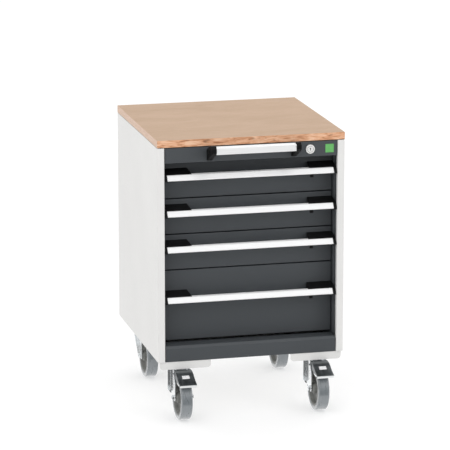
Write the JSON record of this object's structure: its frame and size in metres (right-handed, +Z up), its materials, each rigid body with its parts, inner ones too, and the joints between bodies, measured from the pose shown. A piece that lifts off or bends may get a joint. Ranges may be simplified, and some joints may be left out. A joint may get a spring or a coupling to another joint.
{
  "type": "workbench with drawers",
  "caption": "Mobile steel drawer cabinet with a plywood worktop, full-width grip drawers, a push bar, a lock and swivel castors, the front ones braked.",
  "frame": {"origin": "on the floor, under the middle of the whole object's bounding box at rest, brake pedals included", "axes": "+Z up, drawers and push bar face -Y, +X to the right of someone facing the drawers"},
  "size_m": [0.525, 0.597, 0.785],
  "materials": {
    "plywood": "sealed birch plywood",
    "light_grey_paint": "fine textured powder coat",
    "anthracite_paint": "fine textured powder coat",
    "tray_paint": "fine textured powder coat",
    "zinc_plate": "bright zinc plating",
    "pedal_steel": "dark plated steel, polished at the lip",
    "aluminium": "satin anodised",
    "black_plastic": "moulded, fine grain",
    "nickel": "nickel plated",
    "green_plate": "blank printed plate",
    "wheel_plastic": "moulded polyamide",
    "grey_rubber": "non-marking grey rubber"
  },
  "bodies": {
    "root": {"worktop": "plywood", "side_panel_left": "light_grey_paint", "side_panel_right": "light_grey_paint", "back_panel": "light_grey_paint", "top_panel": "light_grey_paint", "base_panel": "light_grey_paint", "plinth": "anthracite_paint", "top_fascia": "anthracite_paint", "inner_walls": "anthracite_paint", "cabinet_rails": "zinc_plate", "push_handle_bar": "aluminium", "push_handle_brackets": "black_plastic", "lock_housing": "nickel", "badge_plate": "green_plate", "castor_brackets": "light_grey_paint", "castor_plates": "zinc_plate", "castor_bolts": "zinc_plate"},
    "lock": {"lock_cylinder": "nickel"},
    "drawer_4": {"drawer_4_front": "anthracite_paint", "drawer_4_tray": "tray_paint", "drawer_4_grip": "aluminium", "drawer_4_end_caps": "black_plastic", "drawer_4_rails": "zinc_plate"},
    "drawer_4_release": {"drawer_4_latch": "black_plastic"},
    "drawer_3": {"drawer_3_front": "anthracite_paint", "drawer_3_tray": "tray_paint", "drawer_3_grip": "aluminium", "drawer_3_end_caps": "black_plastic", "drawer_3_rails": "zinc_plate"},
    "drawer_3_release": {"drawer_3_latch": "black_plastic"},
    "drawer_2": {"drawer_2_front": "anthracite_paint", "drawer_2_tray": "tray_paint", "drawer_2_grip": "aluminium", "drawer_2_end_caps": "black_plastic", "drawer_2_rails": "zinc_plate"},
    "drawer_2_release": {"drawer_2_latch": "black_plastic"},
    "drawer_1": {"drawer_1_front": "anthracite_paint", "drawer_1_tray": "tray_paint", "drawer_1_grip": "aluminium", "drawer_1_end_caps": "black_plastic", "drawer_1_rails": "zinc_plate"},
    "drawer_1_release": {"drawer_1_latch": "black_plastic"},
    "castor_front_left_swivel_head": {"castor_front_left_fork": "zinc_plate", "castor_front_left_axle": "zinc_plate"},
    "castor_front_left_roller": {"castor_front_left_wheel": "wheel_plastic", "castor_front_left_tyre": "grey_rubber"},
    "castor_front_left_brake": {"castor_front_left_pedal": "pedal_steel"},
    "castor_front_right_swivel_head": {"castor_front_right_fork": "zinc_plate", "castor_front_right_axle": "zinc_plate"},
    "castor_front_right_roller": {"castor_front_right_wheel": "wheel_plastic", "castor_front_right_tyre": "grey_rubber"},
    "castor_front_right_brake": {"castor_front_right_pedal": "pedal_steel"},
    "castor_rear_left_swivel_head": {"castor_rear_left_fork": "zinc_plate", "castor_rear_left_axle": "zinc_plate"},
    "castor_rear_left_roller": {"castor_rear_left_wheel": "wheel_plastic", "castor_rear_left_tyre": "grey_rubber"},
    "castor_rear_right_swivel_head": {"castor_rear_right_fork": "zinc_plate", "castor_rear_right_axle": "zinc_plate"},
    "castor_rear_right_roller": {"castor_rear_right_wheel": "wheel_plastic", "castor_rear_right_tyre": "grey_rubber"}
  },
  "joints": [
    {"name": "lock_turn", "type": "hinge", "parent": "root", "child": "lock", "pos_m": [0.1645, -0.2265, 0.742], "axis": [0, 1, 0], "range_deg": [0, 90]},
    {"name": "drawer_4_slide", "type": "slide", "parent": "root", "child": "drawer_4", "axis": [0, -1, 0], "range_m": [0, 0.34]},
    {"name": "drawer_4_latch_press", "type": "hinge", "parent": "drawer_4", "child": "drawer_4_release", "pos_m": [0.173, -0.21, 0.337], "axis": [1, 0, 0], "range_deg": [0, 14], "stiffness_Nm_per_rad": 0.02, "springref_deg": -8.59},
    {"name": "drawer_3_slide", "type": "slide", "parent": "root", "child": "drawer_3", "axis": [0, -1, 0], "range_m": [0, 0.34]},
    {"name": "drawer_3_latch_press", "type": "hinge", "parent": "drawer_3", "child": "drawer_3_release", "pos_m": [0.173, -0.21, 0.479], "axis": [1, 0, 0], "range_deg": [0, 14], "stiffness_Nm_per_rad": 0.02, "springref_deg": -8.59},
    {"name": "drawer_2_slide", "type": "slide", "parent": "root", "child": "drawer_2", "axis": [0, -1, 0], "range_m": [0, 0.34]},
    {"name": "drawer_2_latch_press", "type": "hinge", "parent": "drawer_2", "child": "drawer_2_release", "pos_m": [0.173, -0.21, 0.579], "axis": [1, 0, 0], "range_deg": [0, 14], "stiffness_Nm_per_rad": 0.02, "springref_deg": -8.59},
    {"name": "drawer_1_slide", "type": "slide", "parent": "root", "child": "drawer_1", "axis": [0, -1, 0], "range_m": [0, 0.34]},
    {"name": "drawer_1_latch_press", "type": "hinge", "parent": "drawer_1", "child": "drawer_1_release", "pos_m": [0.173, -0.21, 0.679], "axis": [1, 0, 0], "range_deg": [0, 14], "stiffness_Nm_per_rad": 0.02, "springref_deg": -8.59},
    {"name": "castor_front_left_swivel", "type": "hinge", "parent": "root", "child": "castor_front_left_swivel_head", "pos_m": [-0.194, -0.1815, 0.143], "axis": [0, 0, 1], "continuous": true},
    {"name": "castor_front_left_roll", "type": "hinge", "parent": "castor_front_left_swivel_head", "child": "castor_front_left_roller", "pos_m": [-0.194, -0.2215, 0.0625], "axis": [1, 0, 0], "continuous": true},
    {"name": "castor_front_left_brake_press", "type": "hinge", "parent": "castor_front_left_swivel_head", "child": "castor_front_left_brake", "pos_m": [-0.194, -0.2095, 0.127], "axis": [1, 0, 0], "range_deg": [0, 12]},
    {"name": "castor_front_right_swivel", "type": "hinge", "parent": "root", "child": "castor_front_right_swivel_head", "pos_m": [0.194, -0.1815, 0.143], "axis": [0, 0, 1], "continuous": true},
    {"name": "castor_front_right_roll", "type": "hinge", "parent": "castor_front_right_swivel_head", "child": "castor_front_right_roller", "pos_m": [0.194, -0.2215, 0.0625], "axis": [1, 0, 0], "continuous": true},
    {"name": "castor_front_right_brake_press", "type": "hinge", "parent": "castor_front_right_swivel_head", "child": "castor_front_right_brake", "pos_m": [0.194, -0.2095, 0.127], "axis": [1, 0, 0], "range_deg": [0, 12]},
    {"name": "castor_rear_left_swivel", "type": "hinge", "parent": "root", "child": "castor_rear_left_swivel_head", "pos_m": [-0.194, 0.2535, 0.143], "axis": [0, 0, 1], "continuous": true},
    {"name": "castor_rear_left_roll", "type": "hinge", "parent": "castor_rear_left_swivel_head", "child": "castor_rear_left_roller", "pos_m": [-0.194, 0.2135, 0.0625], "axis": [1, 0, 0], "continuous": true},
    {"name": "castor_rear_right_swivel", "type": "hinge", "parent": "root", "child": "castor_rear_right_swivel_head", "pos_m": [0.194, 0.2535, 0.143], "axis": [0, 0, 1], "continuous": true},
    {"name": "castor_rear_right_roll", "type": "hinge", "parent": "castor_rear_right_swivel_head", "child": "castor_rear_right_roller", "pos_m": [0.194, 0.2135, 0.0625], "axis": [1, 0, 0], "continuous": true}
  ]
}
